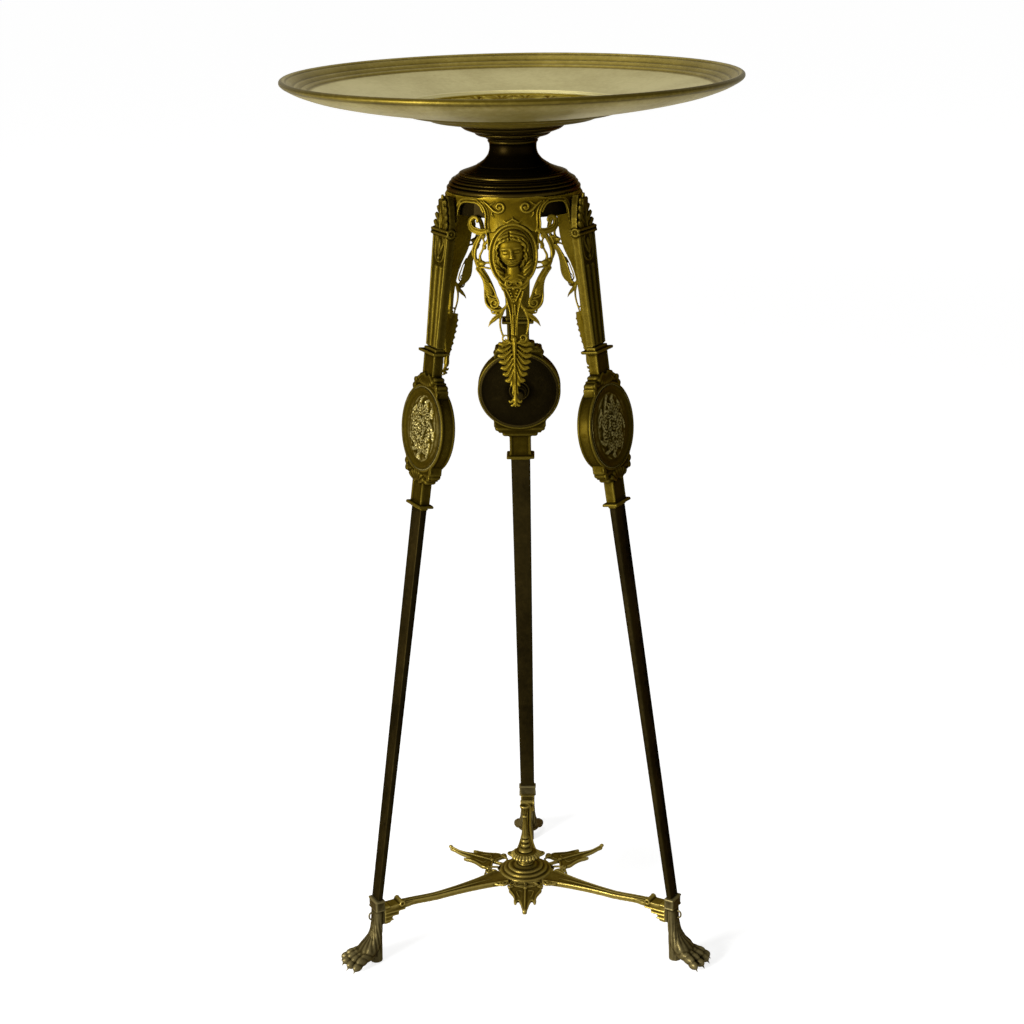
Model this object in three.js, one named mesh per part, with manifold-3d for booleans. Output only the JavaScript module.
import * as THREE from 'three';
import { mergeVertices } from 'three/addons/utils/BufferGeometryUtils.js';
import Module from 'manifold-3d';

// A bronze tripod stand with a round tray. Millimetres, +Z up, the floor is z = 0 and the axis x = y = 0.
// Every leg, apron and stretcher part is drawn in a spoke frame: +X runs outward, +Y across, +Z up.

const wasm = await Module();
wasm.setup();

// Clearance between two pieces that touch, and the room round a screw
const gap = 0.3;

// Tray: a dish with a rolled rim and a sloping lip, an embossed centre plate and a stepped boss below
const rimHeight = 950;
const tray = {
  radius: 233, depth: 45.5, wall: 3.4, rimThick: 5, lipWidth: 13, lipDrop: 10, mouldWidth: 17,
  bowlStart: 28, seatDrop: 35.6, seatWeb: 4, sides: 28,
};
const medallion = { radius: 107.2, thick: 3.2, rim: 6, rimRise: 1.6, collarRadius: 14 };
const boss = { radius: 59, height: 19.5, spigotRadius: 54, hollowRadius: 18, lipRadius: 26.6, sides: 16 };

// Neck and dome cap
const neck = { height: 35, waist: 24.8, footRadius: 55.6, bore: 16, sides: 16 };
const dome = { height: 15, lipOver: 0.1, sides: 16 };

// Crown ring and what clamps the tray to it
const crown = { height: 20, wall: 4, topWeb: 4, sides: 15 };
const bolt = { radius: 4, headRadius: 9, headHeight: 3, tail: 4, sides: 8 };
const washer = { radius: 14, thick: 2.5 };
const nut = { radius: 8, height: 6.5 };
const screw = { radius: 2, headRadius: 3.6, headHeight: 2.2, sides: 6 };

// Aprons: pierced plates bent round a cone that spreads downwards
const apron = { radius: 68.4, thick: 3.5, spread: 0.108, drop: 207, relief: 1.6, stepAngle: 24 };
const arch = { bandDrop: 4.5, postDrop: 32, postWidth: 6.4 };
const oval = { centreDrop: 55.5, halfWidth: 24.5, halfHeight: 32, frame: 4.8, segments: 6 };

// Legs: the upper bar leans a little less than the lower shaft, and both lines meet in the drum
const leg = {
  drumRadius: 106, drumHeight: 597, capitalDrop: 36.7, capitalOff: 3.9, leafRise: 3.3,
  ankleRadius: 187.5, ankleHeight: 66,
};
const upperBar = {
  topWidth: 33, footWidth: 25, thick: 9.5, border: 3.4, groove: 1.3, ridge: 4.5, ridgeOver: 2.2,
};
const lowerShaft = { topWidth: 21.5, footWidth: 16.6, topThick: 7.5, footThick: 5.8, chamfer: 1.3 };
const drum = {
  radius: 46, thick: 16, rim: 3.6, recess: 3.4, disc: 3, upperReach: 84.5, lowerReach: 85.5, sides: 14,
  shoulderWidth: 54, lowerShoulderWidth: 58, neckWidth: 23.8, neckThick: 9.6,
};
const collar = { over: 4, thick: 3, under: 2.4 };
const stud = { radius: 2.6, knobBase: 8, knobTip: 4.6, knobLength: 15, sides: 8 };
const foot = { bandTop: 76, reach: 44.9, halfWidth: 17, toeCount: 4 };

// Stretcher
const hub = { radius: 29.6, discBottom: 57, discTop: 70, plateThick: 4, rootThick: 4, sides: 16 };
const arm = {
  hubHalf: 15.5, midHalf: 4.9, thick: 4.4, rail: 1.3, railWidth: 2.2, rootStart: 10, endRise: 3, steps: 5,
};
const corbel = { length: 25, top: 66, bottom: 45, halfWidth: 7.5, firstDrop: 8, steps: 3, studDepth: 12 };
const leaf = { thick: 3.4, tip: 103, rootStart: 19 };
const gadroon = {
  radius: 16.8, topRadius: 10.5, height: 8, stemRadius: 8, stemHeight: 5, lobes: 12, flute: 1.2,
};
const finial = { height: 57, bead: 4.9, shaft: 4.2, waist: 2.2, cup: 5.6, stud: 2.6, studDepth: 8 };

const legNames = [['rear', 90], ['left', 210], ['right', 330]];
const apronNames = [['front', 270], ['right', 30], ['left', 150]];

const finish = (color, roughness, metalness) =>
  new THREE.MeshStandardMaterial({ color, roughness, metalness });
const oliveBronze = finish(0x78641c, 0.38, 1);
const darkBronze = finish(0x2c2410, 0.42, 1);
const paleBronze = finish(0xa9a162, 0.42, 1);
const brightBrass = finish(0x9a7a2a, 0.34, 1);
const steel = finish(0x5a5a58, 0.5, 1);

// Geometry helpers

const radians = THREE.MathUtils.degToRad;

// A closed solid from any closed geometry, with its faces turned outward
function solid(geometry) {
  const bare = geometry.clone();
  bare.deleteAttribute('normal');
  bare.deleteAttribute('uv');
  const welded = mergeVertices(bare, 1e-4);
  const place = welded.attributes.position;
  const corner = [0, 1, 2].map(() => new THREE.Vector3());
  const kept = [];
  let volume = 0;
  for (let i = 0; i < welded.index.count; i += 3) {
    const face = [0, 1, 2].map(k => welded.index.getX(i + k));
    if (new Set(face).size < 3) continue;
    face.forEach((vertex, k) => corner[k].fromBufferAttribute(place, vertex));
    volume += corner[0].dot(corner[1].clone().cross(corner[2]));
    kept.push(face);
  }
  const faces = volume < 0 ? kept.map(([a, b, c]) => [a, c, b]) : kept;
  return new wasm.Manifold(new wasm.Mesh({
    numProp: 3,
    vertProperties: new Float32Array(place.array),
    triVerts: new Uint32Array(faces.flat()),
  }));
}

const join = solids => solids.reduce((whole, one) => whole.add(one));

function piece(name, shape, material) {
  const { vertProperties, triVerts } = shape.getMesh();
  const geometry = new THREE.BufferGeometry();
  geometry.setAttribute('position', new THREE.BufferAttribute(vertProperties, 3));
  geometry.setIndex(new THREE.BufferAttribute(triVerts, 1));
  geometry.computeVertexNormals();
  const mesh = new THREE.Mesh(geometry, material);
  mesh.name = name;
  return mesh;
}

// Profile points are [radius, height]; a profile that stays off the axis is closed on itself
function lathe(profile, sides) {
  const points = profile.map(([radius, height]) => new THREE.Vector2(radius, height));
  const ends = [points[0], points.at(-1)];
  if (ends.some(end => end.x > 0)) points.push(points[0].clone());
  return new THREE.LatheGeometry(points, sides);
}

const turned = (profile, sides) => solid(lathe(profile, sides).rotateX(Math.PI / 2));

const axes = (x, y, z) => new THREE.Matrix4().makeBasis(x, y, z);
const alongX = new THREE.Vector3(1, 0, 0);
const alongY = new THREE.Vector3(0, 1, 0);
const alongZ = new THREE.Vector3(0, 0, 1);

// Turned about the spoke's +X: a profile height becomes a distance outward
const turnedOutward = (profile, sides) =>
  solid(lathe(profile, sides).applyMatrix4(axes(alongZ, alongX, alongY)));

function extruded(shape, depth, bevel = 0, curveSegments = 4) {
  const geometry = new THREE.ExtrudeGeometry(shape, {
    depth: depth - 2 * bevel, curveSegments, steps: 1,
    bevelEnabled: bevel > 0, bevelSegments: 1,
    bevelThickness: bevel, bevelSize: bevel, bevelOffset: -bevel,
  });
  return geometry.translate(0, 0, bevel);
}

// A shape drawn across (+Y) and up (+Z), extruded outward from one radius to another
const facing = (shape, from, to, bevel = 0, curveSegments = 4) =>
  solid(extruded(shape, to - from, bevel, curveSegments)
    .applyMatrix4(axes(alongY, alongZ, alongX)).translate(from, 0, 0));

// A shape drawn outward (+X) and across (+Y), extruded upward
const standing = (shape, from, to, bevel = 0, curveSegments = 4) =>
  solid(extruded(shape, to - from, bevel, curveSegments).translate(0, 0, from));

// A shape drawn outward (+X) and up (+Z), extruded across by a width about the spoke
function slab(shape, width, bevel = 0) {
  const geometry = extruded(shape, width, bevel);
  const turn = axes(alongX, alongZ, alongY.clone().negate());
  return solid(geometry.applyMatrix4(turn).translate(0, width / 2, 0));
}

const box = (x0, x1, width, z0, z1) => solid(
  new THREE.BoxGeometry(x1 - x0, width, z1 - z0).translate((x0 + x1) / 2, 0, (z0 + z1) / 2));

function polygon(points) {
  return new THREE.Shape(points.map(([x, y]) => new THREE.Vector2(x, y)));
}

// Both halves of an outline that is given for +x only, from top to bottom
const mirrored = points => polygon([...points, ...points.map(([x, y]) => [-x, y]).reverse()]);

const mirrorAcross = shape => solid(geometryOf(shape).scale(1, -1, 1));

function geometryOf(shape) {
  const { vertProperties, triVerts } = shape.getMesh();
  const geometry = new THREE.BufferGeometry();
  geometry.setAttribute('position', new THREE.BufferAttribute(vertProperties, 3));
  geometry.setIndex(new THREE.BufferAttribute(triVerts, 1));
  return geometry;
}

// Rings of equal length joined one after another, with a flat end at each side
function loft(rings) {
  const count = rings[0].length;
  const points = rings.flat();
  const middle = ring =>
    ring.reduce((sum, p) => sum.add(p), new THREE.Vector3()).divideScalar(ring.length);
  points.push(middle(rings[0]), middle(rings.at(-1)));
  const first = points.length - 2;
  const last = points.length - 1;
  const index = [];
  for (let i = 0; i < count; i += 1) {
    const next = (i + 1) % count;
    for (let row = 0; row < rings.length - 1; row += 1) {
      const a = row * count;
      const b = a + count;
      index.push(a + i, a + next, b + next, a + i, b + next, b + i);
    }
    const end = (rings.length - 1) * count;
    index.push(first, next, i, last, end + i, end + next);
  }
  const geometry = new THREE.BufferGeometry().setFromPoints(points);
  geometry.setIndex(index);
  return solid(geometry);
}

// A band of changing width along a smooth curve through [x, y, width] points
function ribbon(stations, samples = 1) {
  const knots = stations.map(([x, y, width]) => new THREE.Vector3(x, y, width));
  const curve = new THREE.CatmullRomCurve3(knots);
  const steps = samples * (stations.length - 1);
  const right = [];
  const left = [];
  for (let i = 0; i <= steps; i += 1) {
    const at = curve.getPoint(i / steps);
    const ahead = curve.getTangent(i / steps);
    const across = new THREE.Vector2(-ahead.y, ahead.x).normalize().multiplyScalar(at.z / 2);
    right.push([at.x + across.x, at.y + across.y]);
    left.push([at.x - across.x, at.y - across.y]);
  }
  return polygon([...right, ...left.reverse()]);
}

function disc(x, y, radius, stretch = 1) {
  const shape = new THREE.Shape();
  shape.absellipse(x, y, radius, radius * stretch, 0, 2 * Math.PI);
  return shape;
}

const ball = (centre, size, across = 6, rings = 5) => solid(
  new THREE.SphereGeometry(1, across, rings).rotateX(Math.PI / 2).scale(...size).translate(...centre));

function spoke(azimuth, parts) {
  const group = new THREE.Group();
  group.rotation.z = radians(azimuth);
  group.add(...parts);
  return group;
}

// Heights of the stack, from the rim down
const dishSeat = rimHeight - tray.depth;
const bossBottom = dishSeat - boss.height;
const neckBottom = bossBottom - neck.height;
const domeBottom = neckBottom - dome.height;
const crownTop = domeBottom - gap;
const medallionSeat = rimHeight - tray.seatDrop;
const medallionTop = medallionSeat + gap + medallion.thick;
const boltHole = bolt.radius + gap;
const spigotHole = (boss.spigotRadius + gap) / Math.cos(Math.PI / tray.sides);

function trayDish() {
  const outer = tray.radius;
  const under = new THREE.CubicBezierCurve(
    new THREE.Vector2(outer - 5, rimHeight - 9),
    new THREE.Vector2(outer - tray.bowlStart, rimHeight - 24),
    new THREE.Vector2((outer + boss.radius) / 2, rimHeight - tray.depth + 9),
    new THREE.Vector2(boss.radius + 1, dishSeat),
  ).getPoints(4).map(p => [p.x, p.y]);
  const lipFoot = outer - tray.lipWidth;
  const mould = rimHeight - tray.lipDrop;
  const seatEdge = medallion.radius + gap;
  const field = under
    .filter(([radius]) => radius < lipFoot - tray.mouldWidth && radius > seatEdge + 6)
    .map(([radius, height]) => [radius, height + tray.wall]);
  const fieldEnd = rimHeight - tray.seatDrop + 2.4;
  const pocket = medallionSeat - tray.seatWeb;
  return turned([
    [boltHole, pocket], [spigotHole, pocket], [spigotHole, dishSeat],
    ...under.reverse(),
    [outer, rimHeight - tray.rimThick], [outer, rimHeight - 1.6], [outer - 3, rimHeight],
    [lipFoot, mould], [lipFoot - 5, mould + 1], [lipFoot - 11, mould - 1],
    [lipFoot - tray.mouldWidth, mould - 5],
    ...field,
    [seatEdge + 4, fieldEnd], [seatEdge + 2, fieldEnd + 1.4], [seatEdge, medallionSeat],
    [boltHole, medallionSeat],
  ], tray.sides);
}

function trayMedallion() {
  const bottom = medallionSeat + gap;
  const edge = medallion.radius;
  return turned([
    [boltHole, bottom], [edge, bottom], [edge - 2, medallionTop + medallion.rimRise],
    [edge - medallion.rim, medallionTop], [medallion.collarRadius, medallionTop],
    [medallion.collarRadius - 2, medallionTop + 1], [boltHole, medallionTop + 1],
  ], tray.sides);
}

function trayBoss() {
  const top = dishSeat - gap;
  const spigotTop = medallionSeat - tray.seatWeb - gap;
  const lip = boss.lipRadius;
  const step = (boss.radius - lip) / 6;
  return turned([
    [boss.hollowRadius, bossBottom + gap], [lip, bossBottom + gap], [lip + 1.8 * step, bossBottom + 4],
    [lip + 2.1 * step, bossBottom + 7], [lip + 3.7 * step, bossBottom + 9],
    [lip + 4.2 * step, bossBottom + 12], [boss.radius, bossBottom + 16], [boss.radius, top],
    [boss.spigotRadius, top], [boss.spigotRadius, spigotTop],
    [boltHole, spigotTop], [boltHole, spigotTop - 5], [boss.hollowRadius, spigotTop - 7],
  ], boss.sides);
}

function neckPiece() {
  const bottom = neckBottom + gap;
  const spread = neck.footRadius - neck.waist;
  const head = boss.lipRadius - 0.8;
  return turned([
    [neck.bore, bossBottom], [head, bossBottom], [head, bossBottom - 2.2],
    [neck.waist, bossBottom - 5], [neck.waist, bossBottom - 12],
    [neck.waist + 0.2 * spread, bossBottom - 22], [neck.waist + 0.5 * spread, bossBottom - 28],
    [neck.footRadius - 4, bossBottom - 31], [neck.footRadius, bossBottom - 33], [neck.footRadius, bottom],
    [neck.footRadius - 10, bottom], [neck.bore, bottom + 14],
  ], neck.sides);
}

function domeCap() {
  const top = neckBottom;
  const lip = apron.radius + dome.lipOver;
  const bottom = domeBottom;
  return turned([
    [boltHole, bottom], [lip - 1.7, bottom], [lip, bottom + 2.2], [lip, bottom + 4.4],
    [lip - 5, bottom + 9], [lip - 6, bottom + 11],
    [neck.footRadius + 2, top - 1.4], [neck.footRadius + 1, top], [boltHole, top],
  ], dome.sides);
}

// Outer radius of the apron's cone at a height
const apronFace = height => apron.radius + (crownTop - height) * apron.spread;

// The radial hole of a screw that comes from inside the crown ring
const screwHole = (from, to, height) => solid(
  new THREE.CylinderGeometry(screw.radius + gap, screw.radius + gap, to - from, screw.sides)
    .rotateY(Math.PI / 2).rotateZ(Math.PI / 2).translate((from + to) / 2, 0, height));

const turnAbout = (shape, azimuth) => solid(geometryOf(shape).rotateZ(radians(azimuth)));

const crownBottom = crownTop - crown.height;
const crownScrewHeight = crownTop - 10;
const crownInside = apron.radius - apron.thick - gap - crown.wall;
const capitalHeight = crownTop - leg.capitalDrop;
const capitalRadius = apronFace(capitalHeight) + leg.capitalOff + upperBar.thick / 2;
const legScrewEnd = capitalRadius - 3;
const crownScrewSeat = crownInside * Math.cos(Math.PI / crown.sides) - gap;

function crownRing() {
  const skin = height => apronFace(height) - apron.thick - gap;
  const ring = turned([
    [boltHole, crownTop - crown.topWeb], [crownInside, crownTop - crown.topWeb],
    [crownInside, crownBottom], [skin(crownBottom), crownBottom], [skin(crownTop), crownTop],
    [boltHole, crownTop],
  ], crown.sides);
  const hole = screwHole(crownInside - 4, legScrewEnd, crownScrewHeight);
  const aligned = turnAbout(ring, 180 / crown.sides);
  return [...legNames, ...apronNames].reduce(
    (cut, [, azimuth]) => cut.subtract(turnAbout(hole, azimuth)), aligned);
}

function clampParts() {
  const head = medallionTop + 1 + gap;
  const washerTop = crownTop - crown.topWeb - gap;
  const nutTop = washerTop - washer.thick - gap;
  const end = nutTop - nut.height - bolt.tail;
  const centreBolt = turned([
    [0, end], [bolt.radius, end], [bolt.radius, head], [bolt.headRadius, head],
    [bolt.headRadius, head + 1],
    [bolt.headRadius * 0.7, head + bolt.headHeight * 0.8], [0, head + bolt.headHeight],
  ], bolt.sides);
  const ring = (radius, top, thick, sides) => turned([
    [boltHole, top - thick], [radius, top - thick], [radius, top], [boltHole, top],
  ], sides);
  const hexagon = new THREE.CylinderGeometry(nut.radius, nut.radius, nut.height, 6).rotateX(Math.PI / 2);
  const nutBore = new THREE.CylinderGeometry(boltHole, boltHole, 2 * nut.height, bolt.sides)
    .rotateX(Math.PI / 2);
  const nutMiddle = nutTop - nut.height / 2;
  return [
    piece('centre_bolt', centreBolt, brightBrass),
    piece('centre_washer', ring(washer.radius, washerTop, washer.thick, 12), brightBrass),
    piece('centre_nut', solid(hexagon.translate(0, 0, nutMiddle)).subtract(
      solid(nutBore.translate(0, 0, nutMiddle))), steel),
  ];
}

const raisedTo = (shape, height) => solid(geometryOf(shape).translate(0, 0, height));

// A round-headed screw along the spoke, its head inside and its end outside
function outwardScrew(seat, end, height) {
  const { radius, headRadius, headHeight, sides } = screw;
  return raisedTo(turnedOutward([
    [0, seat - headHeight], [headRadius * 0.7, seat - headHeight], [headRadius, seat - headHeight * 0.4],
    [headRadius, seat], [radius, seat], [radius, end], [0, end],
  ], sides), height);
}

const headlessStud = (from, to, height) => raisedTo(
  turnedOutward([[0, from], [screw.radius, from], [screw.radius, to], [0, to]], screw.sides), height);

// Apron outlines, on one side of the middle: [across, drop below the crown]
const apronOutline = {
  plate: [[33.5, 0], [27.6, 14], [28.2, 24], [31.6, 36], [27, 42], [23.6, 60], [14.3, 86], [9.4, 96],
    [8, 106], [3.6, 114], [3, 148]],
  volute: [[29, 31, 7], [36, 32.6, 6], [43, 26, 4.4], [38, 19.6, 4]],
  lyre: [[31.5, 36.5, 4], [38, 50, 2.8], [38.4, 63, 3], [35, 73, 4]],
  lyreInner: [[26, 40.5, 3], [32.4, 53, 2.6], [29, 66, 3.4]],
  tie: [[22, 64, 3.4], [36, 70, 3.4]],
  scroll: [[35.4, 71, 4], [30, 86, 6], [24, 104, 9], [8, 104, 5]],
  scrollEye: [18, 106, 6],
  strand: [[17, 108, 4], [9, 139, 3]],
  tail: [[20, 111, 5.4], [26.8, 126.6, 0.8]],
  bud: [[2.6, 146], [2.6, 190], [1.6, 196], [4.6, 201.4], [0.6, 206.6]],
};
const lobes = { count: 4, firstDrop: 145, lastDrop: 179, firstReach: 15.6, lastReach: 8.6, width: 5.6 };

const onCrown = ([across, drop, ...rest]) => [across, crownTop - drop, ...rest];

function lobeShapes() {
  return Array.from({ length: lobes.count }, (_, i) => {
    const t = i / (lobes.count - 1);
    const reach = THREE.MathUtils.lerp(lobes.firstReach, lobes.lastReach, t ** 1.6);
    const drop = THREE.MathUtils.lerp(lobes.firstDrop, lobes.lastDrop, t);
    const width = lobes.width * 0.8;
    return ribbon([[1, drop - 7 - 9 * t, width], [reach, drop, width]].map(onCrown));
  });
}

// The cone-shaped shell that an apron is cut from, as thick as asked
function apronShell(outer, span = [-endAngle, endAngle], drops = [0, apron.drop], inner = -apron.thick) {
  const [from, to] = span;
  const [top, bottom] = drops;
  const steps = Math.max(1, Math.round((to - from) / apron.stepAngle));
  const rings = [];
  for (let i = 0; i <= steps; i += 1) {
    const angle = radians(from + (to - from) * i / steps);
    rings.push([[inner, top], [outer, top], [outer, bottom], [inner, bottom]]
      .map(([rise, drop]) => {
        const radius = apronFace(crownTop - drop) + rise;
        return new THREE.Vector3(radius * Math.cos(angle), radius * Math.sin(angle), crownTop - drop);
      }));
  }
  return loft(rings);
}

// The aprons meet behind the legs, with the usual gap between them
const endAngle = 60 - THREE.MathUtils.radToDeg(gap / apron.radius);
const postAngle = THREE.MathUtils.radToDeg(arch.postWidth / apron.radius);

function apronPiece() {
  const near = apron.radius * 0.3;
  const far = apronFace(crownTop - apron.drop) + 12;
  const cut = (shape, segments = 4) => facing(shape, near, far, 0, segments);
  const side = apronOutline;
  const halves = [
    ...[side.volute, side.lyre, side.lyreInner, side.tie, side.scroll, side.strand, side.tail]
      .map(stations => ribbon(stations.map(onCrown))),
    disc(...onCrown(side.scrollEye)), ...lobeShapes(),
  ].map(shape => cut(shape, 3));
  const ovalCentre = crownTop - oval.centreDrop;
  const ovalDisc = () => disc(0, ovalCentre, oval.halfWidth, oval.halfHeight / oval.halfWidth);
  const middle = [
    cut(mirrored(side.plate.map(onCrown))), cut(mirrored(side.bud.map(onCrown))),
    cut(ovalDisc(), oval.segments),
  ];
  const rightHalf = join(halves);
  const outline = join([rightHalf, mirrorAcross(rightHalf), ...middle]);
  const ovalRing = ovalDisc();
  const inside = oval.halfWidth - oval.frame;
  const ovalHole = new THREE.Path();
  ovalHole.absellipse(0, ovalCentre, inside, oval.halfHeight - oval.frame, 0, 2 * Math.PI);
  ovalRing.holes.push(ovalHole);
  const raised = join([
    cut(ovalRing, oval.segments), cut(mirrored([[1.3, 112], [1.3, 186]].map(onCrown))),
  ]);
  const band = apronShell(0, [-endAngle, endAngle], [0, arch.bandDrop]);
  const post = apronShell(0, [endAngle - postAngle, endAngle], [0, arch.postDrop]);
  const plate = apronShell(0).intersect(outline);
  const relief = apronShell(apron.relief, [-36, 36], [20, 200], -1).intersect(raised);
  const hole = screwHole(apron.radius - 8, apron.radius - 1.2, crownScrewHeight);
  const legHole = screwHole(apron.radius - 8, apron.radius + 8, crownScrewHeight);
  return join([plate, relief, headRelief(), band, post, mirrorAcross(post)])
    .subtract(hole).subtract(turnAbout(legHole, 60)).subtract(turnAbout(legHole, -60));
}

// A plain classical head in low relief inside the oval: hair, face, neck and the drape below
function headRelief() {
  const at = (across, drop, rise) => [apronFace(crownTop - drop) + rise, across, crownTop - drop];
  return join([
    ball(at(0, 49, 0), [7, 11.6, 15], 6, 3), ball(at(0, 73, 0), [4.4, 10, 11], 6, 3),
  ]);
}

// Legs: heights along the bar are measured from the drum's middle
const upperLean = Math.atan2(leg.drumRadius - capitalRadius, capitalHeight - leg.drumHeight);
const lowerLean = Math.atan2(leg.ankleRadius - leg.drumRadius, leg.drumHeight - leg.ankleHeight);
const drumLean = (upperLean + lowerLean) / 2;
const ridgeAt = Math.hypot(leg.drumRadius - capitalRadius, capitalHeight - leg.drumHeight);
const leafTopAt = (crownTop + leg.leafRise - leg.drumHeight) / Math.cos(upperLean);
const shaftEndAt = -(leg.drumHeight - foot.bandTop) / Math.cos(lowerLean);

const leaned = (shape, lean) => solid(
  geometryOf(shape).rotateY(-lean).translate(leg.drumRadius, 0, leg.drumHeight));

// Scales a bar about its own axis, from one pair of factors at its top to another at its foot
function tapered(shape, topAt, footAt, acrossFoot, thickFoot) {
  const geometry = geometryOf(shape);
  const place = geometry.attributes.position;
  for (let i = 0; i < place.count; i += 1) {
    const t = THREE.MathUtils.clamp((topAt - place.getZ(i)) / (topAt - footAt), 0, 1);
    place.setX(i, place.getX(i) * THREE.MathUtils.lerp(1, thickFoot, t));
    place.setY(i, place.getY(i) * THREE.MathUtils.lerp(1, acrossFoot, t));
  }
  return solid(geometry);
}

// Section of the upper bar: raised borders and two reeds on the outer face
function flutedSection() {
  const half = upperBar.topWidth / 2;
  const out = upperBar.thick / 2;
  const floor = out - upperBar.groove;
  const inner = half - upperBar.border;
  const reed = inner / 2;
  return polygon([
    [-out, half], [out, half], [out, inner], [floor, inner - 0.8], [floor, reed + 2.6], [out, reed + 1.2],
    [out, reed - 1.6], [floor, reed - 3], [floor, -reed + 3], [out, -reed + 1.6], [out, -reed - 1.2],
    [floor, -reed - 2.6], [floor, -inner + 0.8], [out, -inner], [out, -half], [-out, -half],
  ]);
}

// Half outline of the leaf on the capital, from its tip down: [across, height above the ridge]
const leafHalf = [[0.6, 1], [5.4, 0.84], [9, 0.74], [7.4, 0.62], [12.6, 0.5], [10.4, 0.37], [16, 0.24],
  [13.6, 0.1], [13.6, 0]];

function upperBarPiece() {
  const foot0 = drum.upperReach + gap;
  const across = upperBar.footWidth / upperBar.topWidth;
  const bar = tapered(standing(flutedSection(), foot0, ridgeAt), ridgeAt, foot0, across, 1);
  const out = upperBar.thick / 2;
  const half = upperBar.topWidth / 2 + upperBar.ridgeOver;
  const front = out + upperBar.ridgeOver;
  const ridgeShape = polygon([[-out - 1, half], [front, half], [front, -half], [-out - 1, -half]]);
  const ridge = standing(ridgeShape, ridgeAt - upperBar.ridge / 2, ridgeAt + upperBar.ridge / 2, 1.2);
  const leafFoot = ridgeAt + upperBar.ridge / 2 - 1;
  const leafTall = leafTopAt - leafFoot;
  const leafShape = mirrored(leafHalf.map(([y, share]) => [y, leafFoot + share * leafTall]));
  const blade = facing(leafShape, -out, out);
  const rib = slab(polygon([[0, leafFoot], [out + 2, leafFoot], [out + 1.6, leafFoot + 0.7 * leafTall],
    [0, leafTopAt - 1]]), 3);
  const husk = slab(polygon([[0, ridgeAt - 3], [out + 1.4, ridgeAt - 3], [out + 1.8, ridgeAt - 12],
    [out + 0.4, ridgeAt - 26], [0, ridgeAt - 26]]), 6.5, 0.8);
  const whole = leaned(join([bar, ridge, blade, rib, husk]), upperLean);
  const padOut = barInside(crownScrewHeight) + 2;
  const padIn = apronFace(crownScrewHeight - 7) + gap;
  const pad = box(padIn, padOut, 11, crownScrewHeight - 7, crownScrewHeight + 6);
  return whole.add(pad).subtract(screwHole(padIn - 1, legScrewEnd + gap, crownScrewHeight));
}

// Inner face of the upper bar at a height
const barInside = height =>
  leg.drumRadius - (height - leg.drumHeight) * Math.tan(upperLean)
  - upperBar.thick / 2 / Math.cos(upperLean);

// A square bar about its own axis, from stations of [distance, half width, half thickness]
const moulded = profile => loft(profile.map(([at, half, thick]) => [
  [thick, half], [-thick, half], [-thick, -half], [thick, -half],
].map(([x, y]) => new THREE.Vector3(x, y, at))));

// Stepped shoulder, short neck and collar between the drum and a bar, mirrored below by a sign of -1
function shoulder(sign, wide, barWidth, barThick, reach) {
  const half = wide / 2;
  const deep = drum.thick / 2 - 1;
  const neckHalf = drum.neckWidth / 2;
  const neckDeep = drum.neckThick / 2;
  const flange = reach - collar.under - collar.thick;
  const [collarHalf, collarDeep] = [barWidth / 2 + collar.over, barThick / 2 + collar.over];
  const round = drum.radius;
  return moulded([
    [round - 12, half, deep], [round - 1, half, deep], [round + 5, half - 6, deep - 1.6],
    [round + 9.5, half - 8, deep - 2], [round + 9.6, neckHalf, neckDeep],
    [flange - 4, neckHalf, neckDeep], [flange, collarHalf, collarDeep],
    [flange + collar.thick, collarHalf, collarDeep], [reach, barWidth / 2 + 1.5, barThick / 2 + 1.5],
  ].map(([at, ...rest]) => [sign * at, ...rest]));
}

function drumCasting() {
  const half = drum.thick / 2;
  const rimInner = drum.radius - drum.rim;
  const bore = stud.radius + gap;
  const body = turnedOutward([
    [bore, -half + drum.recess], [rimInner, -half + drum.recess], [rimInner, -half], [drum.radius, -half],
    [drum.radius, half], [rimInner, half], [rimInner, half - drum.recess], [bore, half - drum.recess],
  ], drum.sides);
  const { topWidth, topThick } = lowerShaft;
  const upper = shoulder(1, drum.shoulderWidth, upperBar.footWidth, upperBar.thick, drum.upperReach);
  const lower = shoulder(-1, drum.lowerShoulderWidth, topWidth, topThick, drum.lowerReach);
  const inside = turnedOutward([
    [0, -drum.thick], [rimInner, -drum.thick], [rimInner, drum.thick], [0, drum.thick],
  ], drum.sides);
  const ends = leaned(upper, upperLean).add(leaned(lower, lowerLean)).subtract(leaned(inside, drumLean));
  return ends.add(leaned(body, drumLean));
}

function drumMedallion() {
  const floor = drum.thick / 2 - drum.recess + gap;
  const edge = drum.radius - drum.rim - gap;
  const end = -drum.thick / 2 - 8;
  return leaned(turnedOutward([
    [0, end], [stud.radius, end], [stud.radius, floor], [edge, floor], [edge, floor + drum.disc],
    [edge - 9, floor + 1.6], [edge - 18, floor + 3], [0, floor + 4.4],
  ], drum.sides), drumLean);
}

function drumBackDisc() {
  const floor = -drum.thick / 2 + drum.recess - gap;
  const edge = drum.radius - drum.rim - gap;
  const bore = stud.radius + gap;
  return leaned(turnedOutward([
    [bore, floor], [edge, floor], [edge, floor - drum.disc], [edge - 5, floor - 1.2], [bore, floor - 2.6],
  ], drum.sides), drumLean);
}

function knobNut() {
  const seat = -drum.thick / 2 + drum.recess - 2 * gap - 2.6;
  const bore = stud.radius + gap;
  const end = seat - stud.knobLength;
  const boreEnd = -drum.thick / 2 - 8 - gap;
  return leaned(turnedOutward([
    [bore, seat], [stud.knobBase, seat], [stud.knobBase - 2, seat - 4], [stud.knobBase - 0.6, seat - 7],
    [stud.knobTip, seat - 10], [stud.knobTip, end + 1.6], [0, end], [0, boreEnd], [bore, boreEnd],
  ], stud.sides), drumLean);
}

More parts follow.
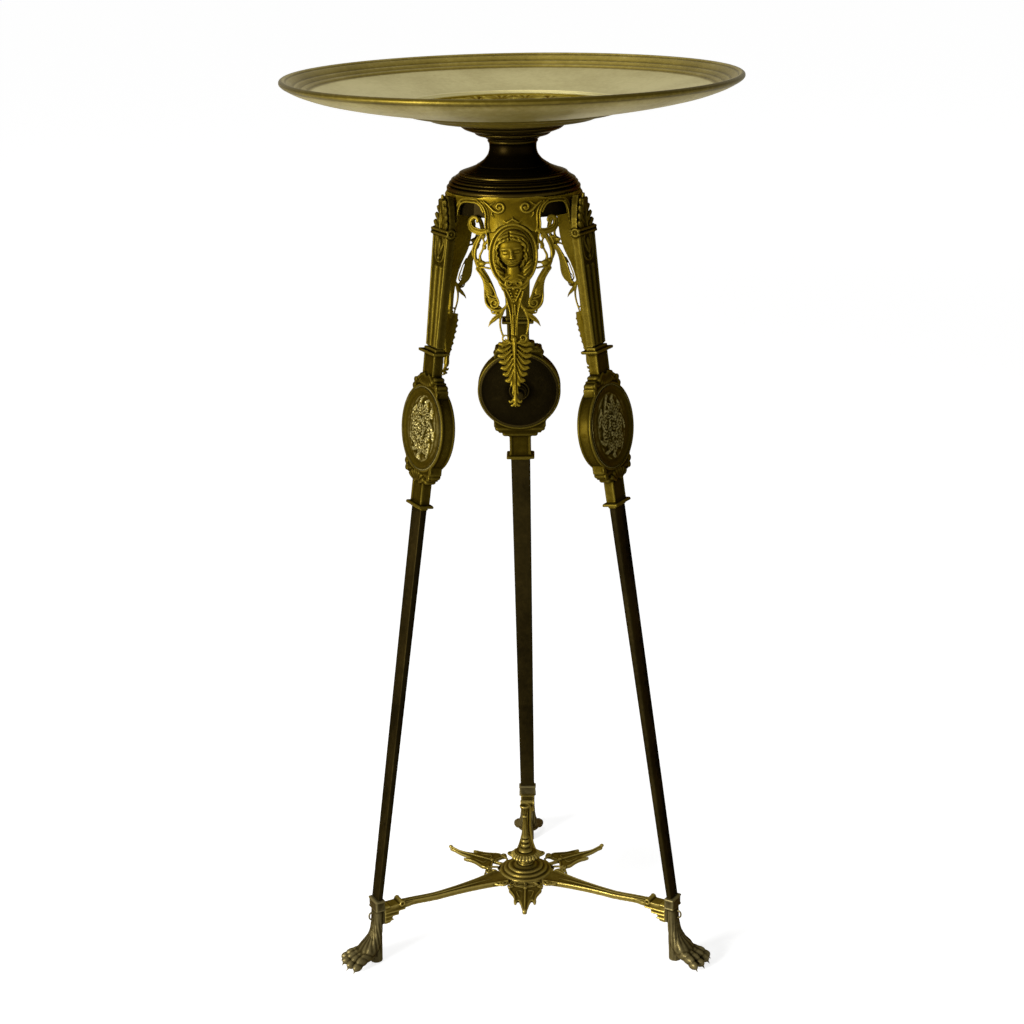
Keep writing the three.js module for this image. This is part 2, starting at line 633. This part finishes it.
function lowerShaftPiece() {
  const top = -drum.lowerReach - gap;
  const end = shaftEndAt + gap;
  const across = lowerShaft.topWidth / 2;
  const out = lowerShaft.topThick / 2;
  const c = lowerShaft.chamfer;
  const section = polygon([
    [-out, across - c], [-out + c, across], [out - c, across], [out, across - c], [out, -across + c],
    [out - c, -across], [-out + c, -across], [-out, -across + c]]);
  return leaned(tapered(standing(section, end, top), top, end, lowerShaft.footWidth / lowerShaft.topWidth,
    lowerShaft.footThick / lowerShaft.topThick), lowerLean);
}

// Sections of the foot: [distance out from the ankle, height, half across, half thick, pitch in degrees]
const footSections = [
  [-1.3, 75.6, 9.2, 4.4, 0], [0.7, 50, 8.4, 4.8, 4], [5.5, 30, 9.6, 6.8, 20],
  [13.5, 15, 14, 10.8, 52], [25.5, 8.4, 16.8, 10.6, 78],
];

function pawFoot() {
  const sides = 8;
  const rings = footSections.map(([out, height, half, thick, pitch]) => {
    const tilt = radians(pitch);
    return Array.from({ length: sides }, (_, i) => {
      const angle = 2 * Math.PI * i / sides;
      const u = thick * Math.sign(Math.cos(angle)) * Math.abs(Math.cos(angle)) ** 0.7;
      const v = half * Math.sign(Math.sin(angle)) * Math.abs(Math.sin(angle)) ** 0.8;
      const radius = leg.ankleRadius + out + u * Math.cos(tilt);
      return new THREE.Vector3(radius, v, height + u * Math.sin(tilt));
    });
  });
  const band = box(leg.ankleRadius - 6.4, leg.ankleRadius + 5, 20, foot.bandTop - 9, foot.bandTop - 2);
  const loop = facing(disc(0, 52.5, 4.6, 1.2), -1.7, 1.7, 0, 3)
    .subtract(facing(disc(0, 52.5, 2.2, 1.3), -4, 4, 0, 3));
  const spur = solid(geometryOf(loop).rotateZ(Math.PI / 2).translate(leg.ankleRadius + 7.2, 0, 0));
  const sole = box(leg.ankleRadius - 40, leg.ankleRadius + foot.reach + 40, 80, -40, 0);
  const hole = screwHole(leg.ankleRadius - 12, leg.ankleRadius + 1.6, armStudHeight);
  return join([loft(rings), band, spur, ...toes()]).subtract(sole).subtract(hole);
}

// Four toes spread like a fan, each with a claw
function toes() {
  const reach = leg.ankleRadius + foot.reach;
  const parts = [];
  for (let i = 0; i < foot.toeCount; i += 1) {
    const side = (i - (foot.toeCount - 1) / 2) / ((foot.toeCount - 1) / 2);
    const across = side * foot.halfWidth * 0.74;
    const back = Math.abs(side) * 3.6;
    const angle = side * 0.2;
    const place = (distance, height) =>
      [reach - back - distance, across + side * (8 - distance) * 0.2, height];
    parts.push(ball(place(14, 5.6), [12.4, 5.6, 9], 4, 3));
    const claw = new THREE.ConeGeometry(2.4, 9, 3).rotateZ(-Math.PI / 2 - 0.35).rotateZ(angle);
    parts.push(solid(claw.translate(...place(3.8, 4.6))));
  }
  return parts;
}

// Stretcher: the arms' roots and the leaves' roots lie between the hub disc and the bottom plate
const rootTop = hub.discBottom - gap;
const rootBottom = rootTop - hub.rootThick;
const legInside = height => leg.drumRadius + (leg.drumHeight - height) * Math.tan(lowerLean);
const armEnd = leg.ankleRadius - 6.2 - gap;
const corbelStart = armEnd - corbel.length;
const armStudHeight = corbel.top - 6;

// Half width of an arm at a distance from the axis: wide at the hub, drawn in on a smooth curve
function armHalf(radius) {
  const t = THREE.MathUtils.clamp((radius - hub.radius) / 80, 0, 1);
  return THREE.MathUtils.lerp(arm.hubHalf, arm.midHalf, 1 - (1 - t) ** 2.2);
}

const armTop = radius =>
  rootTop + 3 + arm.endRise * THREE.MathUtils.smoothstep(radius, corbelStart - 46, corbelStart);

function armPiece() {
  const rings = [];
  const from = hub.radius + 0.6;
  for (let i = 0; i <= arm.steps; i += 1) {
    const radius = THREE.MathUtils.lerp(from, corbelStart + 3, (i / arm.steps) ** 1.25);
    const half = armHalf(radius);
    const top = armTop(radius);
    const inner = half - arm.railWidth;
    rings.push([
      [half, -arm.thick], [half, arm.rail], [inner + 0.6, arm.rail], [inner, 0],
      [-inner, 0], [-inner - 0.6, arm.rail], [-half, arm.rail], [-half, -arm.thick],
    ].map(([y, z]) => new THREE.Vector3(radius, y, top + z)));
  }
  const root = standing(mirroredAcross([[arm.rootStart, 5.6], [17, 11], [hub.radius + 6, 13.4]]),
    rootBottom, rootTop);
  const curl = side => solid(new THREE.CylinderGeometry(4.4, 4.4, 5.4, 6).rotateX(Math.PI / 2)
    .translate(hub.radius + 8.4, side * 16.6, rootTop + 1.4));
  const width = corbel.halfWidth * 2;
  const tall = corbel.top - corbel.bottom - corbel.firstDrop;
  const stepRun = corbel.length / corbel.steps;
  const stairs = Array.from({ length: corbel.steps }, (_, i) => [i, i + 1].map(k => [
    corbelStart + k * stepRun, corbel.top - corbel.firstDrop - tall * (i + 1) / corbel.steps,
  ])).flat();
  const seat = corbel.top - 1;
  const block = slab(polygon([[corbelStart, seat], ...stairs, [armEnd, seat]]), width);
  const scroll = solid(new THREE.CylinderGeometry(3, 3, width + 1.6, 6)
    .translate(corbelStart + 3, 0, corbel.top - 1));
  const hole = screwHole(armEnd - corbel.studDepth - gap, armEnd + 4, armStudHeight);
  return join([loft(rings), root, curl(1), curl(-1), block, scroll]).subtract(hole);
}

// Outline given for +y only, from the hub outward: [radius, half width]
const mirroredAcross = points => polygon([...points, ...points.map(([x, y]) => [x, -y]).reverse()]);

function starLeaf() {
  const start = hub.radius;
  const body = mirroredAcross([
    [start + 0.6, 11.4], [start + 4, 12.4], [start + 8, 16.4], [start + 17, 15.4], [start + 34, 10.8],
    [start + 42, 8.6], [start + 37, 6.6], [start + 60, 3], [leaf.tip, 1.2],
  ]);
  const windows = [1, -1].map(side => polygon([
    [start + 1.4, side * 1.6], [start + 1.4, side * 8.6], [start + 8.6, side * 11],
    [start + 11, side * 4.6], [start + 12.6, side * 1.6]]));
  const top = rootTop + 2.6;
  const blade = standing(body, top - leaf.thick, top);
  const root = standing(mirroredAcross([[leaf.rootStart, 4], [start + 1.4, 9.6]]), rootBottom, rootTop);
  const rib = solid(new THREE.CylinderGeometry(0.7, 1.5, leaf.tip - start - 16, 4).rotateZ(-Math.PI / 2)
    .translate((leaf.tip + start + 12) / 2, 0, top));
  const tip = ball([leaf.tip - 2, 0, top + 0.6], [4.4, 2.4, 3], 6, 4);
  const cut = windows.map(shape => standing(shape, top - 2 * leaf.thick, top + 2));
  return join([blade, root, rib, tip]).subtract(join(cut));
}

function hubParts() {
  const { radius, discBottom, discTop } = hub;
  const hole = finial.stud + gap;
  const disc0 = turned([
    [hole, discBottom], [radius, discBottom], [radius, discBottom + 2.4], [radius - 2, discBottom + 4],
    [radius - 4.6, discBottom + 4], [radius - 5.6, discBottom + 6.4], [radius - 9.6, discBottom + 6.4],
    [radius - 10.6, discBottom + 9], [radius - 17, discBottom + 9], [radius - 17.6, discTop],
    [hole, discTop],
  ], hub.sides);
  const plateTop = rootBottom - gap;
  const plate = turned([
    [hole, plateTop - hub.plateThick], [radius - 6, plateTop - hub.plateThick],
    [radius - 2, plateTop - 1.6], [radius - 2, plateTop], [hole, plateTop]], hub.sides);
  const nutTop = plateTop - hub.plateThick - gap;
  const capNut = turned([
    [hole, nutTop], [8, nutTop], [8, nutTop - 4], [5.6, nutTop - 8], [0, nutTop - 10], [0, nutTop - 7.4],
    [hole, nutTop - 7.4]], stud.sides);
  return [piece('hub_disc', disc0, oliveBronze), piece('hub_plate', plate, oliveBronze),
    piece('hub_nut', capNut, oliveBronze)];
}

const collarBottom = hub.discTop + gap;
const collarTop = collarBottom + gadroon.stemHeight + gadroon.height;

// The collar's flutes are cut between its lobes, on the slope that faces up and out
function gadroonCollar() {
  const { stemRadius, stemHeight, radius, topRadius, lobes: count, flute } = gadroon;
  const hole = finial.stud + gap;
  const eaves = collarBottom + stemHeight;
  const shape = lathe([
    [hole, collarBottom], [stemRadius, collarBottom], [stemRadius - 1, eaves], [radius, eaves + 2],
    [radius - 2, eaves + 5], [topRadius, collarTop - 1.4], [topRadius, collarTop], [hole, collarTop],
  ], 2 * count).rotateX(Math.PI / 2);
  const place = shape.attributes.position;
  const at = new THREE.Vector3();
  for (let i = 0; i < place.count; i += 1) {
    at.fromBufferAttribute(place, i);
    const column = Math.round(Math.atan2(at.y, at.x) / (Math.PI / count));
    const fluted = Math.hypot(at.x, at.y) > topRadius + 0.5 && at.z > eaves + 1;
    if (fluted && column % 2) place.setXY(i, at.x * (1 - flute / radius), at.y * (1 - flute / radius));
  }
  return solid(shape);
}

function finialParts() {
  const base = collarTop + gap;
  const top = base + finial.height;
  const { bead, shaft, waist, cup, stud: pin, studDepth } = finial;
  const body = turned([
    [0, base + studDepth], [pin + gap, base + studDepth], [pin + gap, base], [8, base],
    [7.4, base + 2], [bead - 0.5, base + 5], [bead, base + 6.8], [bead - 0.9, base + 9.4],
    [bead - 0.3, base + 12.8], [shaft - 0.6, base + 15.2], [shaft, base + 16.4], [waist, top - 17.4],
    [waist + 0.8, top - 14], [waist + 0.2, top - 12], [cup - 1.6, top - 5], [cup, top - 1.4],
    [cup - 1, top], [0, top - 3],
  ], stud.sides);
  const nutTop = rootBottom - gap - hub.plateThick - gap;
  const hubStud = turned([
    [0, nutTop - 7], [pin, nutTop - 7], [pin, base + studDepth - gap], [0, base + studDepth - gap],
  ], stud.sides);
  return [piece('finial', body, brightBrass), piece('hub_stud', hubStud, steel)];
}

// The whole stand
const stand = new THREE.Group();

stand.add(
  piece('tray_dish', trayDish(), paleBronze), piece('tray_medallion', trayMedallion(), paleBronze),
  piece('tray_boss', trayBoss(), darkBronze), piece('neck', neckPiece(), darkBronze),
  piece('dome_cap', domeCap(), darkBronze), piece('crown_ring', crownRing(), darkBronze), ...clampParts(),
);

for (const [name, azimuth] of apronNames) {
  stand.add(spoke(azimuth, [
    piece(`apron_${name}`, apronPiece(), oliveBronze),
    piece(`apron_screw_${name}`,
      outwardScrew(crownScrewSeat, apron.radius - 1.6, crownScrewHeight), steel),
  ]));
}

const studEnd = leg.ankleRadius + 1.3;

for (const [name, azimuth] of legNames) {
  stand.add(spoke(azimuth, [
    piece(`upper_bar_${name}`, upperBarPiece(), oliveBronze),
    piece(`crown_screw_${name}`, outwardScrew(crownScrewSeat, legScrewEnd, crownScrewHeight), steel),
    piece(`drum_${name}`, drumCasting(), oliveBronze),
    piece(`drum_medallion_${name}`, drumMedallion(), oliveBronze),
    piece(`drum_back_${name}`, drumBackDisc(), darkBronze),
    piece(`knob_nut_${name}`, knobNut(), darkBronze),
    piece(`lower_shaft_${name}`, lowerShaftPiece(), darkBronze),
    piece(`paw_foot_${name}`, pawFoot(), oliveBronze),
    piece(`stretcher_arm_${name}`, armPiece(), oliveBronze),
    piece(`arm_stud_${name}`, headlessStud(armEnd - corbel.studDepth, studEnd, armStudHeight), steel),
  ]));
}

for (const [name, azimuth] of apronNames) {
  stand.add(spoke(azimuth, [piece(`star_leaf_${name}`, starLeaf(), oliveBronze)]));
}

stand.add(...hubParts(), piece('gadroon_collar', gadroonCollar(), brightBrass), ...finialParts());

export default stand;
